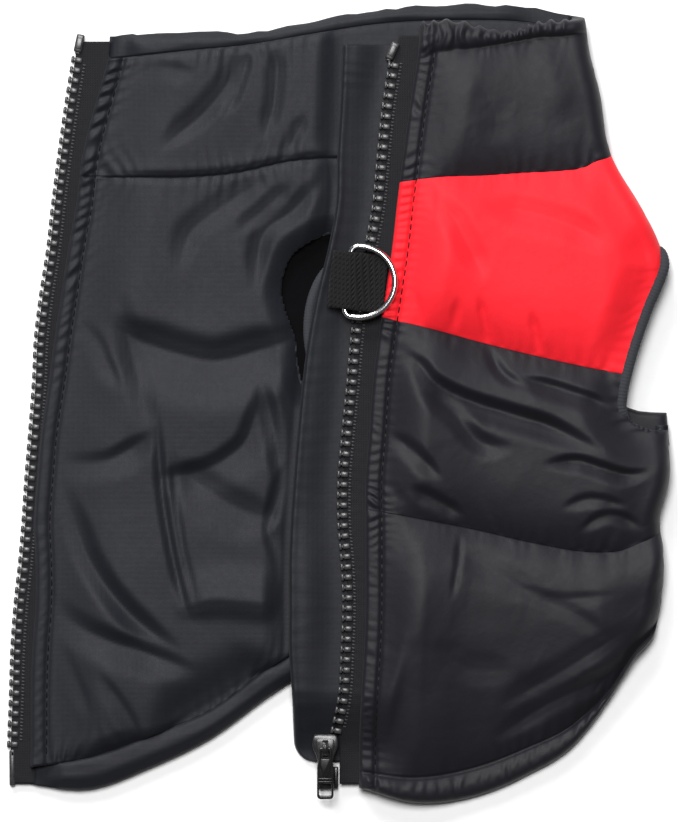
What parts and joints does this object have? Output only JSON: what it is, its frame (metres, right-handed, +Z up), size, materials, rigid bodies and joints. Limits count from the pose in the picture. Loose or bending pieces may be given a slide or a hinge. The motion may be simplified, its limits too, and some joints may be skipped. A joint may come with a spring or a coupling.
{
  "type": "dog winter coat",
  "caption": "Small padded dog coat with a back zip, opened and laid flat: lining up on the left, shell folded over on the right, with armholes, webbing loop and D-ring.",
  "frame": {"origin": "centre of the laid-out coat on the surface it lies on", "axes": "+Z up from the surface, +Y along the back towards the neck, +X towards the folded edge"},
  "size_m": [0.2123, 0.2557, 0.0169],
  "materials": {
    "black_shell": "satin",
    "red_shell": "satin",
    "lining": "matte",
    "grey_binding": "matte",
    "zip_tape": "matte",
    "zip_plastic": "satin",
    "webbing": "matte",
    "ring_metal": "polished"
  },
  "bodies": {
    "coat": {"shell_collar": "black_shell", "shell_yoke": "red_shell", "shell_upper": "black_shell", "shell_lower": "black_shell", "lining_collar": "lining", "lining_body": "lining", "armhole_binding_right": "grey_binding", "armhole_binding_left": "grey_binding", "wind_flap": "lining", "zip_tape_right": "zip_tape", "zip_teeth_right": "zip_plastic", "zip_top_stop_right": "zip_plastic", "zip_box_right": "zip_plastic", "zip_tape_left": "zip_tape", "zip_teeth_left": "zip_plastic", "zip_top_stop_left": "zip_plastic", "zip_pin_left": "zip_plastic", "slider": "zip_plastic", "webbing_loop": "webbing"},
    "ring": {"d_ring": "ring_metal"},
    "pull": {"pull_tab": "zip_plastic"}
  },
  "joints": [
    {"name": "ring_flip", "type": "hinge", "parent": "coat", "child": "ring", "pos_m": [0.0029, 0.0394, 0.0137], "axis": [-0.1132, -0.9936, 0], "range_deg": [0, 165]},
    {"name": "pull_flip", "type": "hinge", "parent": "coat", "child": "pull", "pos_m": [-0.0044, -0.1105, 0.01007], "axis": [-1, 0, 0], "range_deg": [0, 145]}
  ]
}
